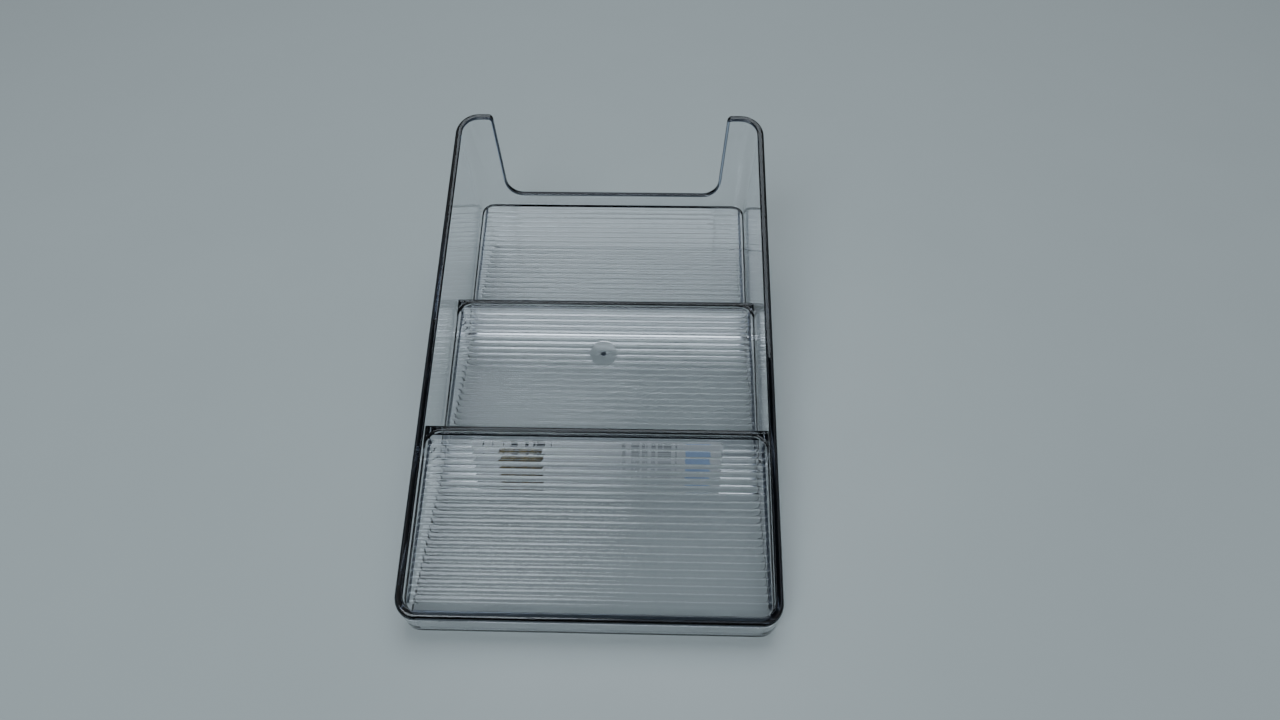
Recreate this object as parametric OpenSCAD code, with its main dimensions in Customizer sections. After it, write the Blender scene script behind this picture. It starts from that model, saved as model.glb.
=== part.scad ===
// Three-tray desk organizer: one clear moulding with a low front, side rims that
// climb to tall back corners, three ribbed sloping trays and a scooped back wall.
// +X is right, +Y is towards the back, +Z is up. The origin is under the middle.

/* [Overall] */
// Width across the side rims at their highest point
width = 130; // [108:1:160]
// Length from the front rim to the back rim
length = 194; // [161:1:240]
// Height of the back corners
height = 71.5; // [59:0.5:90]
// Height of the front rim
front_height = 11.6; // [10.8:0.1:14]

/* [Shell] */
// Thickness of the four outer walls
wall = 2.8; // [2:0.1:3.4]
// Lean of the outer walls away from the upright, in degrees
draft = 2.1; // [0.5:0.1:2.8]
// Outer corner radius in plan, at the top of the back corners
corner_r = 9.5; // [8:0.5:14]

/* [Back scoop] */
// Height of the back wall at the bottom of the scoop
scoop_h = 32.4; // [30.4:0.2:42]
// Width of the scoop at its bottom, before rounding
scoop_w = 96; // [60:1:98]
// Lean of each side of the scoop, in degrees
scoop_flare = 2.5; // [0:0.5:3]
// Rounding of the scoop's bottom corners
scoop_r = 7; // [3:0.5:10]
// Rounding of each back corner's inner top edge
horn_r = 2; // [1:0.5:3]

/* [Trays] */
// Thickness of the tray floors
floor_t = 2.2; // [1.6:0.1:2.8]
// Height of the front tray's floor at its low edge
front_floor_h = 9.6; // [8:0.1:10]
// Height of the other tray floors at their low edges
floor_h = 7.6; // [4:0.1:8]
// Distance from the front rim to the back face of the front divider
front_tray = 63; // [50:0.5:76]
// Distance between the back faces of the two dividers
tray_pitch = 63.6; // [50:0.2:78]
// Thickness of the dividers
divider_t = 2.4; // [1.6:0.1:3.2]
// How far a divider stands above the tray floor in front of it
lip_h = 1.2; // [0.6:0.1:1.6]
// Rounding where a divider's lip meets the side walls
lip_r = 6; // [3:0.5:8]

/* [Ribs] */
// Distance between neighbouring ribs
rib_pitch = 2.5; // [2:0.1:4]
// Height of a rib
rib_h = 0.5; // [0.2:0.05:0.8]
// Plain border between the ribs and the tray's edges
rib_margin = 1.8; // [1:0.1:4]
// Height of the valleys between the ribs above the plain border
rib_land = 0.12; // [0.06:0.02:0.3]

/* [Gate mark] */
// Distance from the front rim to the gate mark
gate_y = 104; // [96:0.5:110]
// Radius of the smooth disc around the gate mark
gate_pad_r = 5.4; // [3:0.1:8]
// Radius of the gate mark
gate_r = 1; // [0.6:0.1:1.5]
// Height of the gate mark
gate_h = 0.4; // [0.2:0.05:0.6]

/* [Label] */
// Width of the label on the front divider
label_w = 90; // [30:1:94]
// Height of the label
label_h = 17; // [6:0.5:17]
// Height of the label's lower edge
label_z = 6.6; // [6:0.1:6.6]
// Thickness of the label
label_t = 0.2; // [0.1:0.05:0.4]

/* [Hidden] */
$fn = 96;
clear = [0.80, 0.86, 0.90, 0.55];
rib_steps = 6;
label_gap = 0.8;
reach = 2 * (width + length + height);

rim_slope = (height - front_height) / length;
rim_angle = atan(rim_slope);
lean = snap(tan(draft));

// The centres of the plan corners stay put at every height, because a leaning
// corner's radius grows as fast as its walls move out.
corner_x = snap(width / 2 - corner_r);
back_corner_y = snap(length / 2 - corner_r);
front_corner_y = snap(-back_corner_y - (height - front_height) * lean);

front_divider_y = -length / 2 + front_tray;
rear_divider_y = front_divider_y + tray_pitch;
floor_drop = floor_t / cos(rim_angle);
front_floor_y = front_y(front_floor_h, wall);

scoop_tip_x = scoop_w / 2 + (height - scoop_h) * tan(scoop_flare);
scoop_arc_x = scoop_w / 2 + scoop_r * tan(scoop_flare) - scoop_r / cos(scoop_flare);

// Rounds to a thousandth, so faces that should meet end on the same numbers
function snap(v) = round(v * 1000) / 1000;

// Plan radius of the drafted shell's corners at height z, moved inwards by inset
function corner_rad(z, inset) = snap(corner_r - (height - z) * lean - inset);

// Faces of the drafted shell at height z, moved inwards by inset
function half_w(z, inset) = corner_x + corner_rad(z, inset);
function front_y(z, inset) = front_corner_y - corner_rad(z, inset);
function back_y(z, inset) = back_corner_y + corner_rad(z, inset);

// Everything below the plane of the rims
module below_rims() {
    translate([-reach / 2, -length / 2, front_height])
        rotate([rim_angle, 0, 0])
            translate([0, -reach / 2, -reach])
                cube([reach, 2 * reach, reach]);
}

// A prism along X from x0 to x1 whose outline is given in Y and Z
module along_x(x0, x1, outline) {
    translate([x0, 0, 0])
        rotate([90, 0, 90])
            linear_extrude(x1 - x0)
                polygon(outline);
}

// A prism along Y from y0 to y1 whose outline is given in X and Z
module along_y(y0, y1, outline) {
    translate([0, y1, 0])
        rotate([90, 0, 0])
            linear_extrude(y1 - y0)
                polygon(outline);
}

// A quarter of a leaning corner, between two insets, on the +X +Y side
module corner_quarter(outer, inner_r, lo, hi) {
    rotate_extrude(angle = 90)
        polygon([[inner_r(lo), lo], [corner_rad(lo, outer), lo],
                 [corner_rad(hi, outer), hi], [inner_r(hi), hi]]);
}

module corner_wall() {
    corner_quarter(0, function(z) corner_rad(z, wall), 0, height);
}

// One half of the space inside the shell, from x = 0 to the right wall
module cavity_half() {
    lo = 0;
    hi = height;
    along_y(front_corner_y, back_corner_y,
            [[0, lo], [half_w(lo, wall), lo], [half_w(hi, wall), hi], [0, hi]]);
    along_x(0, corner_x,
            [[front_y(lo, wall), lo], [front_corner_y, lo], [front_corner_y, hi], [front_y(hi, wall), hi]]);
    along_x(0, corner_x,
            [[back_corner_y, lo], [back_y(lo, wall), lo], [back_y(hi, wall), hi], [back_corner_y, hi]]);
    translate([corner_x, back_corner_y, 0])
        corner_quarter(wall, function(z) 0, lo, hi);
    translate([corner_x, front_corner_y, 0])
        mirror([0, 1, 0])
            corner_quarter(wall, function(z) 0, lo, hi);
}

module cavity() {
    cavity_half();
    mirror([1, 0, 0]) cavity_half();
}

// Side wall on the right, between the two corners
module side_wall() {
    intersection() {
        along_y(front_corner_y, back_corner_y,
                [[half_w(0, wall), 0], [half_w(0, 0), 0],
                 [half_w(height, 0), height], [half_w(height, wall), height]]);
        below_rims();
    }
}

module right_wall() {
    color(clear) side_wall();
}

module left_wall() {
    color(clear) mirror([1, 0, 0]) side_wall();
}

// Front wall on the right of the middle, with its rounded corner
module front_half() {
    intersection() {
        along_x(0, corner_x,
                [[front_y(0, 0), 0], [front_y(0, wall), 0],
                 [front_y(height, wall), height], [front_y(height, 0), height]]);
        below_rims();
    }
    intersection() {
        translate([corner_x, front_corner_y, 0])
            mirror([0, 1, 0])
                corner_wall();
        below_rims();
    }
}

// Low front wall with its two rounded corners
module front_wall() {
    color(clear) {
        front_half();
        mirror([1, 0, 0]) front_half();
    }
}

// Opening of the scoop: straight leaning sides with rounded bottom corners
module scoop_outline() {
    polygon([[-scoop_tip_x, height - scoop_h], [-scoop_w / 2 - scoop_r * tan(scoop_flare), scoop_r],
             [-scoop_arc_x, scoop_r], [-scoop_arc_x, 0], [scoop_arc_x, 0], [scoop_arc_x, scoop_r],
             [scoop_w / 2 + scoop_r * tan(scoop_flare), scoop_r], [scoop_tip_x, height - scoop_h]]);
    for (side = [-1, 1])
        translate([side * scoop_arc_x, scoop_r]) circle(scoop_r);
}

// What the rounding takes off a back corner's inner top edge
module horn_rounding() {
    difference() {
        translate([-horn_r, -horn_r]) square(2 * horn_r);
        translate([horn_r, -horn_r]) circle(horn_r);
        translate([0, -horn_r]) mirror([0, 1]) square(2 * horn_r);
        translate([horn_r, -2 * horn_r]) square(3 * horn_r);
    }
}

module through_back(h) {
    translate([0, length / 2 + 1, h])
        rotate([90, 0, 0])
            linear_extrude(length / 2)
                children();
}

// Low middle of the back wall, under the scoop
module back_wall() {
    color(clear)
        along_x(-scoop_arc_x, scoop_arc_x,
                [[back_y(0, wall), 0], [back_y(0, 0), 0],
                 [back_y(scoop_h, 0), scoop_h], [back_y(scoop_h, wall), scoop_h]]);
}

// Tall back corner on the right, with its share of the back wall
module horn() {
    difference() {
        intersection() {
            union() {
                along_x(scoop_arc_x, corner_x,
                        [[back_y(0, wall), 0], [back_y(0, 0), 0],
                         [back_y(height, 0), height], [back_y(height, wall), height]]);
                translate([corner_x, back_corner_y, 0]) corner_wall();
            }
            below_rims();
        }
        through_back(scoop_h) scoop_outline();
        through_back(height - wall * rim_slope) translate([scoop_tip_x, 0]) horn_rounding();
    }
}

module right_horn() {
    color(clear) horn();
}

module left_horn() {
    color(clear) mirror([1, 0, 0]) horn();
}

// Height of a tray floor that starts at height z0 over the point y0
function floor_z(y, y0, z0) = z0 + (y - y0) * rim_slope;

// Rib crests as a chain of low arcs, in distance along the floor and height
function rib_chain(n) =
    let (radius = (pow(rib_pitch / 2, 2) + pow(rib_h, 2)) / (2 * rib_h))
    [for (i = [0:n - 1], k = [0:rib_steps - 1])
        let (s = (k / rib_steps - 0.5) * rib_pitch)
        [(i + k / rib_steps) * rib_pitch, sqrt(radius * radius - s * s) - radius + rib_h + rib_land]];

// Ribs on a floor that starts at y0, z0 and runs back for a plan length of run
module ribs(y0, z0, run) {
    along = run / cos(rim_angle) - 2 * rib_margin;
    count = floor(along / rib_pitch);
    start = rib_margin + (along - count * rib_pitch) / 2;
    half = half_w(z0, wall) - rib_margin;
    translate([0, y0, z0])
        rotate([rim_angle, 0, 0])
            translate([0, start, 0])
                along_x(-half, half,
                        concat([[0, -floor_t / 2]], rib_chain(count),
                               [[count * rib_pitch, rib_land], [count * rib_pitch, -floor_t / 2]]));
}

// A sloping floor between two upright faces, fitted to the inside of the shell
module tray_floor(y0, z0, y1, past) {
    intersection() {
        along_x(-width, width,
                [[y0 - past, floor_z(y0 - past, y0, z0) - floor_drop], [y0 - past, floor_z(y0 - past, y0, z0)],
                 [y1, floor_z(y1, y0, z0)], [y1, floor_z(y1, y0, z0) - floor_drop]]);
        cavity();
    }
}

module front_tray_floor() {
    end = front_divider_y - divider_t;
    color(clear) {
        tray_floor(front_floor_y, front_floor_h, end, wall / 2);
        ribs(front_floor_y, front_floor_h, end - front_floor_y);
    }
}

module middle_tray_floor() {
    end = rear_divider_y - divider_t;
    pad_y = -length / 2 + gate_y - front_divider_y;
    color(clear)
        union() {
            tray_floor(front_divider_y, floor_h, end, 0);
            difference() {
                ribs(front_divider_y, floor_h, end - front_divider_y);
                on_floor(front_divider_y, floor_h, pad_y)
                    translate([0, 0, rib_land / 2])
                        cylinder(r = gate_pad_r, h = 2 * rib_h);
            }
            on_floor(front_divider_y, floor_h, pad_y)
                translate([0, 0, -floor_t / 2])
                    cylinder(r = gate_r, h = floor_t / 2 + gate_h);
        }
}

// Places its children on a tray floor, square to it, at a plan distance from its start
module on_floor(y0, z0, distance) {
    translate([0, y0 + distance, floor_z(y0 + distance, y0, z0)])
        rotate([rim_angle, 0, 0])
            children();
}

module rear_tray_floor() {
    end = back_y(floor_h, wall);
    color(clear) {
        tray_floor(rear_divider_y, floor_h, length / 2, 0);
        ribs(rear_divider_y, floor_h, end - rear_divider_y);
    }
}

// A divider whose back face is at y, behind a floor that starts at y0, z0.
// It reaches from the underside of the next floor to a lip with rounded ends.
module divider(y, y0, z0) {
    front = y - divider_t;
    foot = floor_h - floor_drop;
    intersection() {
        along_x(-width, width,
                [[front, foot], [y, foot], [y, floor_z(y, y0, z0) + lip_h], [front, floor_z(front, y0, z0) + lip_h]]);
        cavity();
    }
    for (side = [0, 1])
        mirror([side, 0, 0])
            lip_end(front, y0, z0);
}

// The low curved web between a lip and the right side wall, on top of the floor
module lip_end(front, y0, z0) {
    ahead = front - lip_r;
    inner_x = half_w(floor_z(ahead, y0, z0), wall) - lip_r;
    intersection() {
        difference() {
            along_x(inner_x, width,
                    [[ahead, floor_z(ahead, y0, z0)], [front, floor_z(front, y0, z0)],
                     [front, floor_z(front, y0, z0) + lip_h], [ahead, floor_z(ahead, y0, z0) + lip_h]]);
            translate([inner_x, ahead, 0]) cylinder(r = lip_r, h = height);
        }
        cavity();
    }
}

module front_divider() {
    color(clear) divider(front_divider_y, front_floor_y, front_floor_h);
}

module rear_divider() {
    color(clear) divider(rear_divider_y, front_divider_y, floor_h);
}

// Plain printed label on the front face of the front divider, kept below the floor
module label() {
    front = front_divider_y - divider_t - label_t;
    ceiling = floor_z(front, front_floor_y, front_floor_h) - floor_drop - label_gap;
    color("white")
        translate([-label_w / 2, front, label_z])
            cube([label_w, label_t, min(label_h, ceiling - label_z)]);
}

front_wall();
left_wall();
right_wall();
back_wall();
left_horn();
right_horn();
front_tray_floor();
middle_tray_floor();
rear_tray_floor();
front_divider();
rear_divider();
label();
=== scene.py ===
import math

import bmesh
import bpy
from mathutils import Matrix, Vector


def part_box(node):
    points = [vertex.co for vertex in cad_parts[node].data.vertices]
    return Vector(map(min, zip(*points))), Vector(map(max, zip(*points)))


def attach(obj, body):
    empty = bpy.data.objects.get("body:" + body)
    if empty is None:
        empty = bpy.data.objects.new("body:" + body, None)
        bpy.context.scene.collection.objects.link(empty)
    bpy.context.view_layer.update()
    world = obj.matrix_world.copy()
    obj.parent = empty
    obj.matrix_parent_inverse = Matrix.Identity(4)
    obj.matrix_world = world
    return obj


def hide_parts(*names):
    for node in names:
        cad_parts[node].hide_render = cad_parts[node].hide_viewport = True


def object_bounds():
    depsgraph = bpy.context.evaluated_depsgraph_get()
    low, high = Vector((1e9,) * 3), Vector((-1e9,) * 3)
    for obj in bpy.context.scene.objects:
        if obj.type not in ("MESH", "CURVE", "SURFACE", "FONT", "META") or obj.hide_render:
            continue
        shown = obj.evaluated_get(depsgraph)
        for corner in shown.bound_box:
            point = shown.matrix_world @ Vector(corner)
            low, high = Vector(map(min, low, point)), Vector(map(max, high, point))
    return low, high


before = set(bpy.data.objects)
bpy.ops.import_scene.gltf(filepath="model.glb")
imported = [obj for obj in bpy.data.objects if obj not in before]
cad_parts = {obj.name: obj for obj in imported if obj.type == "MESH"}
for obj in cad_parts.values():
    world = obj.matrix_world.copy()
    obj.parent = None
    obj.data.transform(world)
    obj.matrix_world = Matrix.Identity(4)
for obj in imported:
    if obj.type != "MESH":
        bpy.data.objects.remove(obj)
CAD_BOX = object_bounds()

bl_info = {
    "name": "Three-tray desk organizer",
    "version": (1, 0, 0),
    "blender": (4, 5, 0),
    "location": "3D View > Sidebar > Organizer",
    "description": "Makes a clear desk organizer with ribbed sloping trays and its paper label",
    "category": "Object",
}

BODY = "root"
CLEAR_NODES = [
    "front_wall",
    "left_wall",
    "right_wall",
    "back_wall",
    "left_horn",
    "right_horn",
    "front_tray_floor",
    "middle_tray_floor",
    "rear_tray_floor",
    "front_divider",
    "rear_divider",
]
MM = 0.001


def low(node):
    """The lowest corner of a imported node, in millimetres."""
    return Vector(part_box(node)[0]) / MM


def high(node):
    """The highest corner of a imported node, in millimetres."""
    return Vector(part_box(node)[1]) / MM


def length(name, description, default_mm):
    """A length setting. Its default is given in millimetres."""
    return bpy.props.FloatProperty(
        name=name,
        description=description,
        default=default_mm * MM,
        min=0.0,
        unit="LENGTH",
        subtype="DISTANCE",
    )


def angle(name, description, default_degrees):
    """An angle setting. Its default is given in degrees."""
    return bpy.props.FloatProperty(
        name=name,
        description=description,
        default=math.radians(default_degrees),
        unit="ROTATION",
        subtype="ANGLE",
    )


def share(name, description, default):
    """A setting from 0 to 1."""
    return bpy.props.FloatProperty(
        name=name, description=description, default=default, min=0.0, max=1.0, subtype="FACTOR"
    )


def number(name, description, default):
    """A plain number setting."""
    return bpy.props.FloatProperty(name=name, description=description, default=default, min=0.0)


def colour(name, description, default):
    """A colour setting, in linear red, green and blue."""
    return bpy.props.FloatVectorProperty(
        name=name, description=description, default=default, size=3, min=0.0, max=1.0, subtype="COLOR"
    )


# ---------------------------------------------------------------------------
# Settings


class MouldingSettings(bpy.types.PropertyGroup):
    """Sizes of the clear moulding that its outer box doesn't give."""

    wall: length("Wall", "Thickness of the outer walls", 2.8)
    lean: number("Lean", "How far a wall leans out for each unit of height", 0.037)
    floor: length("Floor", "Thickness of the tray floors", 2.2)
    divider: length("Divider", "Thickness of the dividers", 2.4)
    front_floor_height: length("Front floor height", "Height of the front floor at its low edge", 9.6)
    floor_height: length("Floor height", "Height of the other floors at their low edges", 7.6)
    lip: length("Lip", "How far a divider stands above the floor in front of it", 1.2)
    lip_corner: length("Lip corner", "Plan radius where a lip meets a side wall", 6.0)
    lip_round: length("Lip rounding", "Radius of a lip's front edge", 0.55)
    lip_back_round: length("Back lip rounding", "Radius of a lip's back edge", 1.4)
    rim_round: length("Rim rounding", "Radius of the rim's outer edge", 1.3)
    rim_inner_round: length("Inner rim rounding", "Radius of the rim's inner edge", 0.7)
    foot_round: length("Foot rounding", "Radius of the edges that stand on the table", 0.3)
    crease_round: length("Crease rounding", "Radius where a floor meets a divider", 0.8)
    edge_fillet: length("Edge fillet", "Radius where a floor meets the outer walls", 0.6)
    heel_round: length("Heel rounding", "Radius under a divider, at the next floor", 2.0)
    scoop_width: length("Scoop width", "Width of the scoop at its bottom, before rounding", 96.0)
    scoop_flare: angle("Scoop flare", "Lean of each side of the scoop", 2.5)
    scoop_round: length("Scoop rounding", "Radius of the scoop's bottom corners", 7.0)
    horn_round: length("Horn rounding", "Radius of each back corner's inner top edge", 2.0)
    speck: length("Speck", "Points nearer to each other than this are made one", 0.0005)
    smooth_limit: angle("Smooth limit", "Edges that turn by more than this stay sharp", 32.0)


class RibSettings(bpy.types.PropertyGroup):
    """Sizes of the fine ribs across the tray floors."""

    pitch: length("Pitch", "Distance between neighbouring ribs", 2.5)
    height: length("Height", "Height of a rib above the valleys beside it", 0.5)
    land: length("Land", "Height of the valleys above the plain border", 0.08)
    margin: length("Margin", "Plain border before the first rib and behind the last", 1.8)
    side_margin: length("Side margin", "Plain border beside a rib's ends", 0.5)
    taper: length("Taper", "Length over which a rib's ends run out", 1.3)
    steps: bpy.props.IntProperty(
        name="Steps", description="Faces across one rib", default=12, min=4, max=24
    )
    gate_distance: length("Gate distance", "Distance from the front rim to the gate mark", 104.0)
    gate_pad: length("Gate pad", "Radius of the smooth disc around the gate mark", 5.4)
    gate_pad_round: length("Gate pad rounding", "Radius of the edge of the cutter for the smooth disc", 0.2)
    gate_radius: length("Gate radius", "Radius of the gate mark", 1.0)
    gate_height: length("Gate height", "Height of the gate mark", 0.4)
    gate_round: length("Gate rounding", "Radius of the gate mark's top edge", 0.25)


class PlasticSettings(bpy.types.PropertyGroup):
    """Look of the clear plastic."""

    tint: colour("Tint", "Colour of the light that passes a surface", (0.995, 0.998, 1.0))
    depth_tint: colour("Depth tint", "Colour that deep plastic takes on", (0.70, 0.76, 0.86))
    density: number("Density", "How fast the depth tint builds up, per metre", 30.0)
    refraction: number("Refraction", "How strongly the plastic bends light", 1.49)
    # Painted shade: the edge tint darkens the rims, the rib ends and the gate mark to a blue slate, in place
    # of the shade the thick glass edges show.
    painted_edge_shade: colour("Edge tint", "Colour of the light that passes a rim or a rib's end", (0.68, 0.76, 0.92))
    # Painted shade: the lip tint turns the lips' rounded edges near black, in place of the shade seen through
    # them.
    painted_lip_shade: colour("Lip tint", "Colour of the light that passes a lip's edges", (0.002, 0.004, 0.009))
    roughness: share("Roughness", "Haze of the polished faces", 0.02)
    wear: share("Wear", "Extra haze in handled patches", 0.03)
    wave: share("Wave", "Strength of the faint waves left by moulding", 0.05)


class LabelSettings(bpy.types.PropertyGroup):
    """Colours of the paper label."""

    paper: colour("Paper", "Colour of the plain paper", (0.78, 0.79, 0.80))
    ochre: colour("Ochre block", "Colour of the left block", (0.20, 0.15, 0.045))
    blue: colour("Blue block", "Colour of the right block", (0.42, 0.56, 0.80))
    corner: length("Corner", "Radius of the label's corners", 1.5)
    gap: length("Gap", "Air between the label and the divider", 0.08)


class StageSettings(bpy.types.PropertyGroup):
    """The table, the lights and the camera."""

    table: colour("Table", "Colour of the table", (0.43, 0.465, 0.455))
    table_size: length("Table size", "Width and depth of the table", 6000.0)
    key_power: number("Key power", "Power of the lamp above and behind, in watts", 6.5)
    fill_power: number("Fill power", "Power of the lamp at the front left, in watts", 10.5)
    lamp_colour: colour("Lamp colour", "Colour of both lamps", (0.80, 0.91, 1.0))
    sky: number("Sky", "Brightness of the surroundings", 0.5)
    lens: bpy.props.FloatProperty(
        name="Lens", description="Focal length on a 36 mm sensor", default=20.372, min=1.0, unit="CAMERA"
    )
    pitch: angle("Pitch", "How far the camera looks down", 50.286)
    yaw: angle("Yaw", "How far the camera is turned to the left", 1.628)
    roll: angle("Roll", "How far the camera is rolled", -0.467)
    place: bpy.props.FloatVectorProperty(
        name="Place",
        description="Where the camera stands",
        default=(0.019767, -0.179093, 0.240828),
        unit="LENGTH",
        subtype="TRANSLATION",
    )


# ---------------------------------------------------------------------------
# Node graphs


class Value:
    """One socket of a graph, with Python's operators in place of Math nodes."""

    def __init__(self, graph, socket):
        self.graph = graph
        self.socket = socket

    def maths(self, operation, first, second):
        """The result of one Math node."""
        return self.graph.add("ShaderNodeMath", {"operation": operation}, {0: first, 1: second})

    def __add__(self, other):
        return self.maths("ADD", self, other)

    def __radd__(self, other):
        return self.maths("ADD", other, self)

    def __sub__(self, other):
        return self.maths("SUBTRACT", self, other)

    def __rsub__(self, other):
        return self.maths("SUBTRACT", other, self)

    def __mul__(self, other):
        return self.maths("MULTIPLY", self, other)

    def __rmul__(self, other):
        return self.maths("MULTIPLY", other, self)

    def __truediv__(self, other):
        return self.maths("DIVIDE", self, other)

    def __rtruediv__(self, other):
        return self.maths("DIVIDE", other, self)

    def __lt__(self, other):
        return self.maths("LESS_THAN", self, other)

    def __gt__(self, other):
        return self.maths("GREATER_THAN", self, other)

    def fraction(self):
        return self.maths("FRACT", self, 0.0)

    def size(self):
        return self.maths("ABSOLUTE", self, 0.0)

    def sign(self):
        return self.maths("SIGN", self, 0.0)


class Graph:
    """A node tree under construction."""

    def __init__(self, tree):
        self.tree = tree

    def add(self, kind, settings=None, sockets=None, output=0):
        """Adds a node, sets its settings and then its sockets, and returns one of its outputs."""
        node = self.tree.nodes.new(kind)
        for name, value in (settings or {}).items():
            if name == "stops":
                self.fill_ramp(node.color_ramp, value)
            else:
                setattr(node, name, value)
        for name, value in (sockets or {}).items():
            self.feed(node.inputs[name], value)
        return Value(self, node.outputs[output]) if node.outputs else node

    def feed(self, socket, value):
        """Links a value to a socket, or sets the socket to a constant."""
        if isinstance(value, Value):
            self.tree.links.new(value.socket, socket)
        elif isinstance(value, (tuple, list)) and len(value) == 3 and socket.type == "RGBA":
            socket.default_value = (*value, 1.0)
        else:
            socket.default_value = value

    @staticmethod
    def fill_ramp(ramp, stops):
        """Gives a ramp its stops, each a place and a grey or a colour."""
        while len(ramp.elements) < len(stops):
            ramp.elements.new(1.0)
        for element, (place, shade) in zip(ramp.elements, stops, strict=True):
            red, green, blue = (shade,) * 3 if isinstance(shade, float) else shade
            element.position = place
            element.color = (red, green, blue, 1.0)


class Finish(Graph):
    """A material under construction."""

    def __init__(self, name):
        self.material = bpy.data.materials.new(name)
        self.material.use_nodes = True
        super().__init__(self.material.node_tree)
        self.tree.nodes.clear()

    def place(self, scale):
        """Object coordinates, scaled."""
        where = self.add("ShaderNodeTexCoord", output="Object")
        return self.add("ShaderNodeMapping", {"vector_type": "POINT"}, {"Vector": where, "Scale": scale})

    def axes(self):
        """The three object coordinates as values."""
        where = self.add("ShaderNodeTexCoord", output="Object")
        split = self.add("ShaderNodeSeparateXYZ", sockets={"Vector": where})
        return [Value(self, socket) for socket in split.socket.node.outputs]

    def noise(self, scale, detail=2.0, roughness=0.5, stretch=(1.0, 1.0, 1.0)):
        """Noise from 0 to 1, with scale given in cells per metre."""
        where = self.place(stretch)
        sockets = {"Vector": where, "Scale": scale, "Detail": detail, "Roughness": roughness}
        return self.add("ShaderNodeTexNoise", sockets=sockets, output="Fac")

    def ramp(self, value, stops):
        """A value turned into the shades of a ramp."""
        return self.add("ShaderNodeValToRGB", {"stops": stops}, {"Fac": value})

    def blend(self, factor, first, second):
        """Mixes two colours."""
        node = self.add("ShaderNodeMix", {"data_type": "RGBA"}, {"Factor": factor}).socket.node
        self.feed(node.inputs[6], first)
        self.feed(node.inputs[7], second)
        return Value(self, node.outputs[2])

    def finish(self, volume=None, **sockets):
        """Adds the shader and the output, and returns the material."""
        named = {name.replace("_", " "): value for name, value in sockets.items()}
        shader = self.add("ShaderNodeBsdfPrincipled", sockets=named)
        ends = {"Surface": shader}
        if volume:
            ends["Volume"] = volume
        self.add("ShaderNodeOutputMaterial", sockets=ends)
        return self.material


HANDLED = [(0.45, 0.0), (0.75, 1.0)]
WAVE_HEIGHT = 0.0004


def clear_plastic(look, name, tint):
    """Polished clear plastic with handling haze and the faint waves left by moulding."""
    finish = Finish(name)
    patches = finish.ramp(finish.noise(38.0, detail=4.0, roughness=0.6), HANDLED)
    scratches = finish.noise(420.0, detail=3.0, stretch=(1.0, 0.08, 0.08))
    haze = look.roughness + look.wear * (patches * scratches)
    waves = finish.noise(55.0, detail=1.0)
    relief = {"Height": waves, "Strength": look.wave, "Distance": WAVE_HEIGHT}
    bump = finish.add("ShaderNodeBump", sockets=relief)
    absorption = {"Color": tuple(look.depth_tint), "Density": look.density}
    depth = finish.add("ShaderNodeVolumeAbsorption", sockets=absorption)
    return finish.finish(
        volume=depth,
        # For the edge and lip finishes this tint is painted shade.
        Base_Color=tuple(tint),
        Transmission_Weight=1.0,
        IOR=look.refraction,
        Roughness=haze,
        Normal=bump,
    )


# Where the label's prints lie, as shares of its width and height: left, right, bottom, top.
OCHRE_BLOCK = (0.10, 0.275, 0.06, 0.74)
BLUE_BLOCK = (0.855, 0.955, 0.10, 0.80)
HEADING = (0.04, 0.32, 0.74, 0.97)
SMALL_PRINT = (0.58, 0.82, 0.10, 0.92)
PRINT_ROWS = 12.0
INK = (0.02, 0.022, 0.025)
DARK_OCHRE = (0.03, 0.025, 0.01)
FIBRE_SHADE = (0.62, 0.63, 0.64)


def inside(across, up, area):
    """1 inside an area of the label, else 0."""
    left, right, bottom, top = area
    return (across > left) * (across < right) * ((up > bottom) * (up < top))


def printed_paper(label, box_low, box_high):
    """White paper with two plain printed blocks and rows of plain bars."""
    finish = Finish("label_paper")
    x, _, z = finish.axes()
    across = (x - box_low.x) / (box_high.x - box_low.x)
    up = (z - box_low.z) / (box_high.z - box_low.z)
    fibres = finish.noise(900.0, detail=3.0)
    paper = finish.blend(finish.ramp(fibres, [(0.3, 0.0), (0.8, 0.25)]), tuple(label.paper), FIBRE_SHADE)
    ochre = inside(across, up, OCHRE_BLOCK)
    bars = finish.noise(900.0, detail=0.0, stretch=(1.0, 0.01, 0.02)) > 0.45
    rows = (up * PRINT_ROWS).fraction() > 0.5
    print_ink = rows * bars * (inside(across, up, HEADING) + inside(across, up, SMALL_PRINT) * 0.5)
    shade = finish.blend(ochre, paper, tuple(label.ochre))
    shade = finish.blend(ochre * (bars + rows) * 0.5, shade, DARK_OCHRE)
    shade = finish.blend(inside(across, up, BLUE_BLOCK), shade, tuple(label.blue))
    shade = finish.blend(print_ink, shade, INK)
    return finish.finish(Base_Color=shade, Roughness=0.62 + fibres * 0.15)


MOTTLE_SHADE = 0.93


def table_top(shade):
    """A pale smooth table with a soft gloss and faint mottling."""
    finish = Finish("table_top")
    mottle = finish.noise(14.0, detail=5.0, roughness=0.55)
    darker = tuple(channel * MOTTLE_SHADE for channel in shade)
    tone = finish.blend(mottle, tuple(shade), darker)
    return finish.finish(Base_Color=tone, Roughness=0.32 + mottle * 0.12)


# ---------------------------------------------------------------------------
# Shape of the moulding


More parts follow.
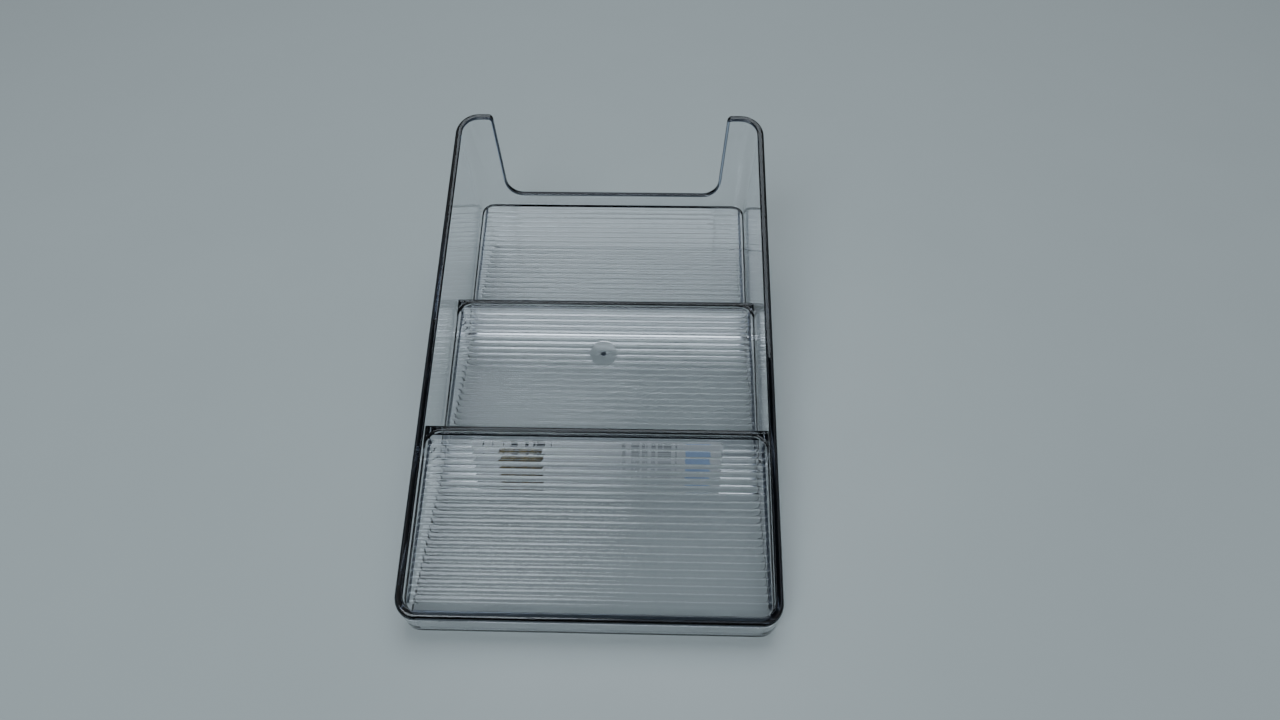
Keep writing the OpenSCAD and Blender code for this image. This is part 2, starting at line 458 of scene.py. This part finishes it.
class Form:
    """The moulding's planes and radii in millimetres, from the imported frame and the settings."""

    def __init__(self, scene):
        look = scene.organizer_plastic
        # The edge and lip finishes are the same clear plastic with painted shade in their tint.
        self.finishes = [
            clear_plastic(look, "clear_plastic", look.tint),
            clear_plastic(look, "clear_plastic_edge", look.painted_edge_shade),
            clear_plastic(look, "clear_plastic_lip", look.painted_lip_shade),
        ]
        sizes = scene.organizer_moulding
        for name, kind in sizes.bl_rna.properties.items():
            if getattr(kind, "subtype", "") == "DISTANCE":
                setattr(self, name, getattr(sizes, name) / MM)
        self.lean = sizes.lean
        self.smooth_limit = sizes.smooth_limit
        self.flare = math.tan(sizes.scoop_flare)
        lowest, highest = (Vector(corner) / MM for corner in CAD_BOX)
        self.height = highest.z
        self.front = lowest.y
        self.back = highest.y
        side = high("right_wall")
        self.corner_y = {-1: low("right_wall").y, 1: side.y}
        self.slope = (self.height - side.z) / (self.back - side.y)
        self.corner = self.back - side.y
        self.corner_x = highest.x - self.corner
        self.scoop_height = high("back_wall").z
        self.front_divider = high("front_divider").y
        self.rear_divider = high("rear_divider").y
        self.tilt = math.atan(self.slope)
        self.drop = self.floor / math.cos(self.tilt)

    def radius(self, z, inset):
        """Plan radius of the corners at height z, moved inwards by inset."""
        return self.corner - (self.height - z) * self.lean - inset

    def rim(self, y):
        """Height of the rims' plane."""
        return self.height - (self.back - y) * self.slope

    def half_width(self, z, inset):
        """Half the width at height z, moved inwards by inset."""
        return self.corner_x + self.radius(z, inset)

    def front_face(self, z, inset):
        """Where the front face lies at height z, moved inwards by inset."""
        return self.corner_y[-1] - self.radius(z, inset)

    def back_face(self, z, inset):
        """Where the back face lies at height z, moved inwards by inset."""
        return self.corner_y[1] + self.radius(z, inset)

    def on_corner(self, end, turn, z, inset):
        """The point at height z on the right front (end -1) or right back (end 1) corner."""
        spread = self.radius(z, inset)
        return Vector(
            (self.corner_x + spread * math.cos(turn), self.corner_y[end] + spread * math.sin(turn), z)
        )

    def floor_at(self, tray, y):
        """Height of a tray's floor, or of its plane, at y."""
        start, _, z = tray
        return z + (y - start) * self.slope

    def trays(self):
        """Each tray's first and last y, and its floor's height at the first."""
        front = self.front_face(self.front_floor_height, self.wall)
        back = self.back_face(self.scoop_height, self.wall)
        return [
            (front, self.front_divider - self.divider, self.front_floor_height),
            (self.front_divider, self.rear_divider - self.divider, self.floor_height),
            (self.rear_divider, back, self.floor_height),
        ]


ARC_STEPS = 8
CORNER_STEPS = 14
POST_ARC_STEPS = 4
POST_SIDES = 32
# Repeated corrections that bring a sloping plane and a leaning wall to the same point.
FIT_ROUNDS = 6
FILLET_FIT_ROUNDS = 4
# The moulding's finishes, in the order of Form.finishes: plain, painted edge shade, painted lip shade.
PLAIN, PAINTED_EDGE_SHADE, PAINTED_LIP_SHADE = 0, 1, 2


def steps(start, end, count):
    """Count + 1 even values from start to end."""
    return [start + (end - start) * i / count for i in range(count + 1)]


def rounded_edge(outer, inner, outer_up, inner_up, radius, inner_radius):
    """The points over a wall's rounded edge, from its outer face to its inner face."""
    across = (inner - outer).normalized()
    over = []
    centre = outer + radius * across - radius * outer_up
    for turn in steps(0.0, math.pi / 2, ARC_STEPS):
        over.append(centre + radius * (math.sin(turn) * outer_up - math.cos(turn) * across))
    centre = inner - inner_radius * across - inner_radius * inner_up
    for turn in steps(math.pi / 2, 0.0, ARC_STEPS):
        over.append(centre + inner_radius * (math.cos(turn) * across + math.sin(turn) * inner_up))
    return over


def corner_station(form, end, turn):
    """The wall's whole section at one turn of a right corner: over the rim, then under the foot."""
    ends = []
    for inset in (0.0, form.wall):
        z = form.height
        for _ in range(FIT_ROUNDS):
            z = form.rim(form.on_corner(end, turn, z, inset).y)
        top = form.on_corner(end, turn, z, inset)
        bottom = form.on_corner(end, turn, 0.0, inset)
        ends.append((top, bottom, (top - bottom).normalized()))
    (outer, outer_foot, up), (inner, inner_foot, inner_up) = ends
    over = rounded_edge(outer, inner, up, inner_up, form.rim_round, form.rim_inner_round)
    under = rounded_edge(outer_foot, inner_foot, -up, -inner_up, form.foot_round, form.foot_round)
    return over, under


def scoop_outline(form):
    """The right half of the back wall's edge as (x, z, away x, away z, share of the rim's fall)."""
    half = form.scoop_width / 2
    lean = math.atan(form.flare)
    outline = []
    tip = form.horn_round
    tip_x = half + (form.height - form.scoop_height) * form.flare + tip
    tip_z = form.height - tip
    for turn in steps(math.pi / 2, math.pi - lean, ARC_STEPS):
        away = (math.cos(turn), math.sin(turn))
        outline.append((tip_x + tip * away[0], tip_z + tip * away[1], *away, 1.0))
    dip = form.scoop_round
    dip_x = half + dip * form.flare - dip * math.sqrt(1 + form.flare**2)
    dip_z = form.scoop_height + dip
    for turn in steps(-lean, -math.pi / 2, ARC_STEPS):
        away = (-math.cos(turn), -math.sin(turn))
        outline.append((dip_x - dip * away[0], dip_z - dip * away[1], *away, 0.0))
    return outline


def scoop_station(form, x, z, away_x, away_z, fall):
    """The back wall's section at one point of its edge, over the rim."""
    outer = Vector((x, form.back_face(z, 0.0), z))
    inner_z = z - fall * form.wall * form.slope
    inner = Vector((x, form.back_face(inner_z, form.wall), inner_z))
    away = Vector((away_x, away_z * form.lean, away_z)).normalized()
    return rounded_edge(outer, inner, away, away, form.rim_round, form.rim_inner_round)


def mirrored(points):
    """The points on the other side of the middle plane."""
    return [Vector((-p.x, p.y, p.z)) for p in points]


def wall_ring(form):
    """The four walls and the back corners as one closed mesh, without floors."""
    right = [corner_station(form, -1, turn) for turn in steps(-math.pi / 2, 0.0, CORNER_STEPS)]
    right += [corner_station(form, 1, turn) for turn in steps(0.0, math.pi / 2, CORNER_STEPS)]
    left = [(mirrored(over), mirrored(under)) for over, under in reversed(right)]
    crest = [scoop_station(form, *point) for point in scoop_outline(form)]
    crest += [mirrored(over) for over in reversed(crest)]
    mesh = bmesh.new()
    walls = [(added(mesh, over), added(mesh, under)) for over, under in right + left]
    ridge = [added(mesh, over) for over in crest]
    middle = len(right) - 1
    for i in range(len(walls)):
        over, under = walls[i]
        next_over, next_under = walls[(i + 1) % len(walls)]
        strip(mesh, under, next_under)
        if i == middle:
            continue
        # The rim's rounded top carries the painted edge shade.
        strip(mesh, over, next_over, PAINTED_EDGE_SHADE)
        mesh.faces.new([over[0], under[0], next_under[0], next_over[0]])
        mesh.faces.new([over[-1], under[-1], next_under[-1], next_over[-1]])
    edge = [walls[middle][0], *ridge, walls[middle + 1][0]]
    # The back wall's rounded edge carries the painted edge shade too.
    for first, second in zip(edge, edge[1:], strict=False):
        strip(mesh, first, second, PAINTED_EDGE_SHADE)
    for side in (0, -1):
        face = [section[side] for section in edge]
        mesh.faces.new([*face, walls[middle + 1][1][side], walls[middle][1][side]])
    return as_object(mesh, "wall_ring", form.finishes)


def added(mesh, points):
    """New vertices of a mesh at the given points."""
    return [mesh.verts.new(point) for point in points]


def strip(mesh, first, second, finish=PLAIN):
    """Joins two rows of vertices with four-sided faces of one finish."""
    for a, b, c, d in zip(first, first[1:], second[1:], second, strict=False):
        mesh.faces.new([a, b, c, d]).material_index = finish


def closed(row):
    """A row of vertices that ends where it began."""
    return [*row, row[0]]


def as_object(mesh, name, finishes=()):
    """Makes an object of a closed mesh, with its faces turned outwards."""
    bmesh.ops.recalc_face_normals(mesh, faces=mesh.faces)
    data = bpy.data.meshes.new(name)
    mesh.to_mesh(data)
    mesh.free()
    for finish in finishes:
        data.materials.append(finish)
    thing = bpy.data.objects.new(name, data)
    bpy.context.scene.collection.objects.link(thing)
    return thing


def prism(outline, direction, name, finishes=()):
    """A closed prism: the outline of (point, finish) pairs and its copy moved by direction."""
    mesh = bmesh.new()
    near = added(mesh, [point for point, _ in outline])
    far = added(mesh, [point + direction for point, _ in outline])
    mesh.faces.new(near)
    mesh.faces.new(far)
    for i in range(len(outline)):
        j = (i + 1) % len(outline)
        strip(mesh, [near[i], near[j]], [far[i], far[j]], outline[i][1])
    return as_object(mesh, name, finishes)


def fillet(before, corner, after, radius):
    """Replaces a corner of a flat outline by an arc that touches both of its sides."""
    first = (before - corner).normalized()
    second = (after - corner).normalized()
    half = first.angle(second) / 2
    reach = radius / math.tan(half)
    centre = corner + (first + second).normalized() * radius / math.sin(half)
    start = corner + first * reach - centre
    end = corner + second * reach - centre
    sweep = start.angle(end)
    points = []
    for part in steps(0.0, 1.0, ARC_STEPS):
        turned = start * math.sin((1 - part) * sweep) + end * math.sin(part * sweep)
        points.append(centre + turned / math.sin(sweep))
    return points


def rounded_outline(corners):
    """A closed outline of (point, finish of the side after it), from (point, radius, finish) corners."""
    outline = []
    for i, (corner, radius, finish) in enumerate(corners):
        if radius:
            after = corners[(i + 1) % len(corners)][0]
            *arc, last = fillet(corners[i - 1][0], corner, after, radius)
            outline += [(point, finish) for point in arc] + [(last, PLAIN)]
        else:
            outline.append((corner, finish))
    return outline


def stepped_floors(form):
    """The three floors and two dividers as one prism that reaches into the walls' thickness."""
    grip = form.wall / 2
    half = form.corner_x + form.corner
    top = []
    under = []

    def add(row, y, above, radius=0.0, finish=PLAIN):
        row.append((Vector((-half, y, form.floor_at(tray, y) + above)), radius, finish))

    for number, tray in enumerate(form.trays()):
        start, end, _ = tray
        if number == 0:
            add(top, start - grip, 0.0)
            add(under, start - grip, -form.drop)
        else:
            add(top, start, 0.0, form.crease_round)
            level = form.divider * form.slope
            add(under, start - form.divider, level - form.drop, form.heel_round)
            add(under, start, -form.drop)
        if number == 2:
            add(top, end + grip, 0.0)
            add(under, end + grip, -form.drop)
        else:
            crest = end + form.divider
            add(top, end, 0.0, form.crease_round / 2)
            # The lip's top and its rounded edges carry the painted lip shade.
            add(top, end, form.lip, form.lip_round, PAINTED_LIP_SHADE)
            add(top, crest, form.lip, form.lip_back_round, PAINTED_LIP_SHADE)
            add(under, end, -form.drop)
    outline = rounded_outline(top + under[::-1])
    return prism(outline, Vector((2 * half, 0, 0)), "stepped_floors", form.finishes)


# How far the trimming solid reaches past the moulding, below and above.
CORE_SPARE = 5.0
# How far a lip's end stands off the planes of its divider, so that no two faces coincide.
HAIR = 0.01
# How deep a fillet is sunk into the floor and the wall that it joins.
SINK = 1.0


def wall_core(form):
    """A solid that ends in the middle of the walls' thickness, to trim the floors with."""
    mesh = bmesh.new()
    inset = form.wall / 2
    rings = []
    for z in (-CORE_SPARE, form.height + CORE_SPARE):
        half = [form.on_corner(-1, turn, z, inset) for turn in steps(-math.pi / 2, 0.0, CORNER_STEPS)]
        half += [form.on_corner(1, turn, z, inset) for turn in steps(0.0, math.pi / 2, CORNER_STEPS)]
        rings.append(added(mesh, half + mirrored(reversed(half))))
    strip(mesh, closed(rings[0]), closed(rings[1]))
    for ring in rings:
        mesh.faces.new(ring)
    return as_object(mesh, "wall_core", form.finishes)


def lip_end(form, tray, side):
    """The low web that carries a lip round a curve into a side wall."""
    end = tray[1]
    reach = form.lip_corner
    ahead = end - reach
    middle = end + form.divider / 2
    centre_x = form.half_width(form.floor_at(tray, ahead), form.wall) - reach
    wide = form.half_width(form.floor_at(tray, end), form.wall / 2)
    layers = [(HAIR, -form.floor / 2), (HAIR, form.lip - form.lip_round - HAIR)]
    for turn in steps(0.0, math.pi / 2, ARC_STEPS)[1:]:
        back_off = HAIR + form.lip_round * (1 - math.cos(turn))
        layers.append((back_off, form.lip - form.lip_round * (1 - math.sin(turn)) - HAIR))
    rings = []
    for back_off, above in layers:
        spread = reach + back_off
        plan = []
        for turn in steps(0.0, math.pi / 2, CORNER_STEPS):
            plan.append((centre_x + spread * math.cos(turn), ahead + spread * math.sin(turn)))
        plan += [(centre_x, middle), (wide, middle), (wide, ahead)]
        rings.append([Vector((side * x, y, form.floor_at(tray, y) + above)) for x, y in plan])
    # The rounded layers of the lip's end carry the painted lip shade.
    finishes = [PLAIN] + [PAINTED_LIP_SHADE] * ARC_STEPS
    return loft(rings, "lip_end", form.finishes, finishes, PLAIN)


def edge_fillet(form, tray, number):
    """The concave fillets between a tray's floor and the outer walls around it."""
    start, end, _ = tray
    near_y, far_y = form.corner_y[-1], form.corner_y[1]
    path = [(min(end + SINK, far_y), 0.0), (max(start - SINK, near_y), 0.0)]
    if number == 0:
        path += [(near_y, turn) for turn in steps(0.0, -math.pi / 2, CORNER_STEPS)[1:]]
    if number == 2:
        path = path[::-1]
        path += [(far_y, turn) for turn in steps(0.0, math.pi / 2, CORNER_STEPS)[1:]]
    size = form.edge_fillet
    section = [(-SINK, -SINK), (-SINK, size)]
    for turn in steps(math.pi, math.pi * 1.5, ARC_STEPS):
        section.append((size + size * math.cos(turn), size + size * math.sin(turn)))
    section.append((size, -SINK))
    right = []
    for centre_y, turn in path:
        ring = []
        for inwards, above in section:
            height = form.floor_at(tray, centre_y)
            for _ in range(FILLET_FIT_ROUNDS):
                spread = form.radius(height, form.wall) - inwards
                y = centre_y + spread * math.sin(turn)
                height = form.floor_at(tray, y) + above
            ring.append(Vector((form.corner_x + spread * math.cos(turn), y, height)))
        right.append(ring)
    left = [mirrored(ring) for ring in right]
    runs = [right, left] if number == 1 else [right + left[::-1]]
    finishes = [PLAIN] * (len(path) * 2)
    return [loft(run, "edge_fillet", form.finishes, finishes, PLAIN) for run in runs]


def loft(rings, name, finishes, between, cap):
    """A closed mesh through rings of points: between gives each band's finish, cap the last ring's."""
    mesh = bmesh.new()
    rows = [added(mesh, ring) for ring in rings]
    for row, next_row, finish in zip(rows, rows[1:], between, strict=False):
        strip(mesh, closed(row), closed(next_row), finish)
    mesh.faces.new(rows[0])
    mesh.faces.new(rows[-1]).material_index = cap
    return as_object(mesh, name, finishes)


def post(radius, bottom, top, edge, name, finishes, finish):
    """A round post whose top edge is rounded."""
    profile = [(radius, bottom)]
    for turn in steps(0.0, math.pi / 2, POST_ARC_STEPS):
        profile.append((radius - edge + edge * math.cos(turn), top - edge + edge * math.sin(turn)))
    turns = steps(0.0, 2 * math.pi, POST_SIDES)[:-1]
    rings = [[Vector((r * math.cos(turn), r * math.sin(turn), z)) for turn in turns] for r, z in profile]
    return loft(rings, name, finishes, [finish] * len(profile), finish)


# Two edges that turn by less than this, in radians, count as one straight edge.
STRAIGHT = 0.005


def straighten(mesh):
    """Takes out the needless points that Boolean steps leave along straight edges."""
    needless = []
    for point in mesh.verts:
        if len(point.link_edges) == 2:
            first, second = (edge.other_vert(point).co - point.co for edge in point.link_edges)
            if first.angle(-second, 0.0) < STRAIGHT:
                needless.append(point)
    bmesh.ops.dissolve_verts(mesh, verts=needless)


def combine(target, tool, operation):
    """Unites the target with the tool, or cuts it by the tool, and deletes the tool."""
    modifier = target.modifiers.new(operation.title(), "BOOLEAN")
    modifier.operation = operation
    modifier.solver = "EXACT"
    modifier.object = tool
    settle(target)
    bpy.data.objects.remove(tool)


def settle(thing):
    """Makes the result of an object's modifiers its plain mesh."""
    evaluated = thing.evaluated_get(bpy.context.evaluated_depsgraph_get())
    mesh = bpy.data.meshes.new_from_object(evaluated)
    thing.modifiers.clear()
    thing.data = mesh


# ---------------------------------------------------------------------------
# Ribs, by Geometry Nodes


# A share of the half width between the block's outer columns of points, at 1, and the next, at 1/3.
BETWEEN_COLUMNS = 0.6


def rib_tree():
    """A sheet with low ribs across it. Its top lies near z = 0 and its first rib begins at y = 0."""
    tree = bpy.data.node_groups.new("ribbed_sheet", "GeometryNodeTree")
    tree.interface.new_socket("Geometry", in_out="OUTPUT", socket_type="NodeSocketGeometry")
    for name in ("Half Width", "Length", "Pitch", "Rib Height", "Land", "Depth", "Taper"):
        tree.interface.new_socket(name, in_out="INPUT", socket_type="NodeSocketFloat")
    tree.interface.new_socket("Rows", in_out="INPUT", socket_type="NodeSocketInt")
    for name in ("Material", "End Material"):
        tree.interface.new_socket(name, in_out="INPUT", socket_type="NodeSocketMaterial")
    graph = Graph(tree)
    given = tree.nodes.new("NodeGroupInput").outputs
    value = {socket.name: Value(graph, socket) for socket in given if socket.name}
    box_size = graph.add(
        "ShaderNodeCombineXYZ",
        sockets={"X": 2.0 * value["Half Width"], "Y": value["Length"], "Z": value["Depth"]},
    )
    grid = {"Size": box_size, "Vertices X": 4, "Vertices Y": value["Rows"], "Vertices Z": 2}
    block = graph.add("GeometryNodeMeshCube", sockets=grid, output="Mesh")
    position = graph.add("GeometryNodeInputPosition")
    split = graph.add("ShaderNodeSeparateXYZ", sockets={"Vector": position}).socket.node
    x, y, z = (Value(graph, socket) for socket in split.outputs)
    middle = x.size() < value["Half Width"] * BETWEEN_COLUMNS
    new_x = x.sign() * (value["Half Width"] - value["Taper"] * middle)
    new_y = y + value["Length"] / 2.0
    phase = 2.0 * (new_y / value["Pitch"]).fraction() - 1.0
    square = phase * phase
    crown = value["Rib Height"] * (1.0 - square * square) + value["Land"]
    top = crown * middle - value["Land"] * (1.0 - middle)
    new_z = (z > 0.0) * (top + value["Depth"]) - value["Depth"]
    moved = graph.add("ShaderNodeCombineXYZ", sockets={"X": new_x, "Y": new_y, "Z": new_z})
    ribbed = graph.add("GeometryNodeSetPosition", sockets={"Geometry": block, "Position": moved})
    realized = graph.add("GeometryNodeRealizeInstances", sockets={"Geometry": ribbed})
    coat = {"Geometry": realized, "Material": value["Material"]}
    clad = graph.add("GeometryNodeSetMaterial", sockets=coat)
    # The rib ends get the painted edge shade finish.
    ends = x.size() > value["Half Width"] - value["Taper"]
    painted_end_shade = {"Geometry": clad, "Selection": ends, "Material": value["End Material"]}
    finished = graph.add("GeometryNodeSetMaterial", sockets=painted_end_shade)
    graph.add("NodeGroupOutput", sockets={"Geometry": finished})
    return tree


def ribbed_sheet(tree, form, ribs, tray):
    """One tray's ribs, set on its floor and sunk a little into it."""
    start, end, z = tray
    pitch = ribs.pitch / MM
    margin = ribs.margin / MM
    along = (end - start) / math.cos(form.tilt) - 2 * margin
    count = math.floor(along / pitch)
    sheet = bpy.data.objects.new("ribbed_sheet", bpy.data.meshes.new("ribbed_sheet"))
    bpy.context.scene.collection.objects.link(sheet)
    modifier = sheet.modifiers.new("Ribs", "NODES")
    modifier.node_group = tree
    inputs = {
        "Half Width": form.half_width(z, form.wall) - ribs.side_margin / MM,
        "Length": count * pitch,
        "Pitch": pitch,
        "Rib Height": ribs.height / MM,
        "Land": ribs.land / MM,
        "Depth": form.floor / 2,
        "Taper": ribs.taper / MM,
        "Rows": count * ribs.steps + 1,
        "Material": form.finishes[PLAIN],
        "End Material": form.finishes[PAINTED_EDGE_SHADE],
    }
    for item in tree.interface.items_tree:
        if item.in_out == "INPUT":
            modifier[item.identifier] = inputs[item.name]
    settle(sheet)
    first = margin + (along - count * pitch) / 2
    place = Matrix.Translation((0, start, z)) @ Matrix.Rotation(form.tilt, 4, "X")
    # Gives the sheet the painted lip shade finish as its third slot, as the moulding's other pieces have.
    sheet.data.materials.append(form.finishes[PAINTED_LIP_SHADE])
    sheet.data.transform(place @ Matrix.Translation((0, first, 0)))
    return sheet


def on_floor(form, tray, y):
    """The frame that stands square on a tray's floor at y."""
    return Matrix.Translation((0, y, form.floor_at(tray, y))) @ Matrix.Rotation(form.tilt, 4, "X")


# ---------------------------------------------------------------------------
# Operators


class ORGANIZER_OT_moulding(bpy.types.Operator):
    """Make the clear moulding with its walls, trays, dividers, ribs and gate mark"""

    bl_idname = "organizer.moulding"
    bl_label = "Clear moulding"

    def execute(self, context):
        form = Form(context.scene)
        body = self.floors(form, context.scene.organizer_ribs)
        for number, tray in enumerate(form.trays()):
            for piece in edge_fillet(form, tray, number):
                combine(body, piece, "UNION")
        for tray in form.trays()[:2]:
            for side in (-1, 1):
                combine(body, lip_end(form, tray, side), "UNION")
        shell = wall_ring(form)
        combine(shell, body, "UNION")
        self.polish(shell, form)
        shell.name = "clear_moulding"
        shell.data.name = "clear_moulding"
        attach(shell, BODY)
        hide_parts(*CLEAR_NODES)
        return {"FINISHED"}

    @staticmethod
    def floors(form, ribs):
        """The floors and dividers with their ribs and the gate mark."""
        body = stepped_floors(form)
        combine(body, wall_core(form), "INTERSECT")
        trays = form.trays()
        tree = rib_tree()
        gate_place = on_floor(form, trays[1], form.front + ribs.gate_distance / MM)
        for number, tray in enumerate(trays):
            sheet = ribbed_sheet(tree, form, ribs, tray)
            if number == 1:
                radius, edge = ribs.gate_pad / MM, ribs.gate_pad_round / MM
                pad = post(radius, -form.floor, form.floor, edge, "gate_pad", form.finishes, PLAIN)
                pad.data.transform(gate_place)
                combine(sheet, pad, "DIFFERENCE")
            combine(body, sheet, "UNION")
        radius, height, edge = ribs.gate_radius / MM, ribs.gate_height / MM, ribs.gate_round / MM
        # The gate mark gets the painted edge shade finish.
        gate = post(radius, -form.floor / 2, height, edge, "gate_mark", form.finishes, PAINTED_EDGE_SHADE)
        gate.data.transform(gate_place)
        combine(body, gate, "UNION")
        return body

    @staticmethod
    def polish(shell, form):
        """Brings the finished mesh to metres, and keeps flat faces flat and rounded ones smooth."""
        mesh = bmesh.new()
        mesh.from_mesh(shell.data)
        bmesh.ops.remove_doubles(mesh, verts=mesh.verts, dist=form.speck)
        straighten(mesh)
        bmesh.ops.scale(mesh, vec=(MM, MM, MM), verts=mesh.verts)
        mesh.to_mesh(shell.data)
        mesh.free()
        shell.data.shade_smooth()
        shell.data.set_sharp_from_angle(angle=form.smooth_limit)
        weighted = shell.modifiers.new("Normals", "WEIGHTED_NORMAL")
        weighted.keep_sharp = True
        weighted.weight = 100
        settle(shell)


class ORGANIZER_OT_label(bpy.types.Operator):
    """Make the paper label behind the front tray"""

    bl_idname = "organizer.label"
    bl_label = "Paper label"

    def execute(self, context):
        label = context.scene.organizer_label
        near, far = (Vector(corner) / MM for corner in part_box("label"))
        radius = label.corner / MM
        corners = [(near.x, near.z), (far.x, near.z), (far.x, far.z), (near.x, far.z)]
        outline = rounded_outline([(Vector((x, near.y, z)), radius, PLAIN) for x, z in corners])
        sheet = prism(outline, Vector((0, far.y - near.y - label.gap / MM, 0)), "paper_label")
        sheet.data.transform(Matrix.Scale(MM, 4))
        sheet.data.materials.append(printed_paper(label, near * MM, far * MM))
        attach(sheet, BODY)
        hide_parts("label")
        return {"FINISHED"}


# Each lamp's name, place and width in metres.
LAMPS = [
    ("key_lamp", (0.05, 0.55, 1.15), 0.9),
    ("fill_lamp", (-0.5, -0.9, 1.2), 0.8),
]
# The surroundings' colour by how far up a direction points: dark low down and right overhead.
DOME = [
    (0.0, (0.02, 0.022, 0.026)),
    (0.35, (0.10, 0.11, 0.12)),
    (0.6, (0.86, 0.93, 1.0)),
    (0.9, (0.86, 0.93, 1.0)),
    (0.96, (0.08, 0.11, 0.16)),
]


class ORGANIZER_OT_stage(bpy.types.Operator):
    """Make the table, the lights and the camera"""

    bl_idname = "organizer.stage"
    bl_label = "Stage"

    def execute(self, context):
        stage = context.scene.organizer_stage
        self.table(stage)
        self.lights(context.scene, stage)
        self.camera(context.scene, stage)
        return {"FINISHED"}

    @staticmethod
    def table(stage):
        """A wide flat table top."""
        half = stage.table_size / 2
        mesh = bmesh.new()
        corners = [(x * half, y * half, 0) for x, y in ((-1, -1), (1, -1), (1, 1), (-1, 1))]
        mesh.faces.new(added(mesh, corners))
        top = as_object(mesh, "table")
        top.data.materials.append(table_top(stage.table))

    @staticmethod
    def lights(scene, stage):
        """Two square lamps that point at the organizer, and the surroundings."""
        powers = {"key_lamp": stage.key_power, "fill_lamp": stage.fill_power}
        for name, place, size in LAMPS:
            data = bpy.data.lights.new(name, "AREA")
            data.shape = "SQUARE"
            data.size = size
            data.energy = powers[name]
            data.color = stage.lamp_colour
            lamp = bpy.data.objects.new(name, data)
            aim = (-Vector(place)).to_track_quat("-Z", "Y").to_matrix().to_4x4()
            lamp.matrix_world = Matrix.Translation(place) @ aim
            scene.collection.objects.link(lamp)
        scene.world = bpy.data.worlds.new("surroundings")
        scene.world.use_nodes = True
        graph = Graph(scene.world.node_tree)
        graph.tree.nodes.clear()
        direction = graph.add("ShaderNodeTexCoord", output="Generated")
        up = graph.add("ShaderNodeSeparateXYZ", sockets={"Vector": direction}, output="Z")
        dome = graph.add("ShaderNodeValToRGB", {"stops": DOME}, {"Fac": up})
        sky = graph.add("ShaderNodeBackground", sockets={"Color": dome, "Strength": stage.sky})
        graph.add("ShaderNodeOutputWorld", sockets={"Surface": sky})

    @staticmethod
    def camera(scene, stage):
        """A camera turned by yaw, then pitched down, then rolled."""
        data = bpy.data.cameras.new("camera")
        data.sensor_width = 36.0
        data.lens = stage.lens
        data.clip_start = 0.01
        data.clip_end = 50.0
        level = Vector((-math.sin(stage.yaw), math.cos(stage.yaw), 0.0))
        ahead = level * math.cos(stage.pitch) - Vector((0.0, 0.0, math.sin(stage.pitch)))
        across = Vector((math.cos(stage.yaw), math.sin(stage.yaw), 0.0))
        above = across.cross(ahead)
        right = across * math.cos(stage.roll) + above * math.sin(stage.roll)
        up = right.cross(ahead)
        camera = bpy.data.objects.new("camera", data)
        turn = Matrix((right, up, -ahead)).transposed().to_4x4()
        camera.matrix_world = Matrix.Translation(stage.place) @ turn
        scene.collection.objects.link(camera)
        scene.camera = camera


class ORGANIZER_PT_panel(bpy.types.Panel):
    """Lists the organizer's pieces and their settings"""

    bl_idname = "ORGANIZER_PT_panel"
    bl_label = "Desk organizer"
    bl_space_type = "VIEW_3D"
    bl_region_type = "UI"
    bl_category = "Organizer"

    def draw(self, context):
        layout = self.layout
        for name, operators in PARTS.items():
            box = layout.box()
            settings = getattr(context.scene, name)
            for key in settings.bl_rna.properties.keys():
                if key not in ("rna_type", "name"):
                    box.prop(settings, key)
            for operator in operators:
                box.operator(operator.bl_idname)


PARTS = {
    "organizer_moulding": [ORGANIZER_OT_moulding],
    "organizer_ribs": [],
    "organizer_plastic": [],
    "organizer_label": [ORGANIZER_OT_label],
    "organizer_stage": [ORGANIZER_OT_stage],
}
SETTINGS = {
    "organizer_moulding": MouldingSettings,
    "organizer_ribs": RibSettings,
    "organizer_plastic": PlasticSettings,
    "organizer_label": LabelSettings,
    "organizer_stage": StageSettings,
}
OPERATORS = [operator for operators in PARTS.values() for operator in operators]
CLASSES = [*SETTINGS.values(), *OPERATORS, ORGANIZER_PT_panel]


def register():
    """Registers the classes and hangs the settings on the scene."""
    for kind in CLASSES:
        bpy.utils.register_class(kind)
    for name, kind in SETTINGS.items():
        setattr(bpy.types.Scene, name, bpy.props.PointerProperty(type=kind))


def unregister():
    """Takes the settings off the scene and unregisters the classes."""
    for name in SETTINGS:
        delattr(bpy.types.Scene, name)
    for kind in reversed(CLASSES):
        bpy.utils.unregister_class(kind)


def main():
    register()
    bpy.ops.organizer.moulding()
    bpy.ops.organizer.label()
    bpy.ops.organizer.stage()


if __name__ == "__main__":
    main()
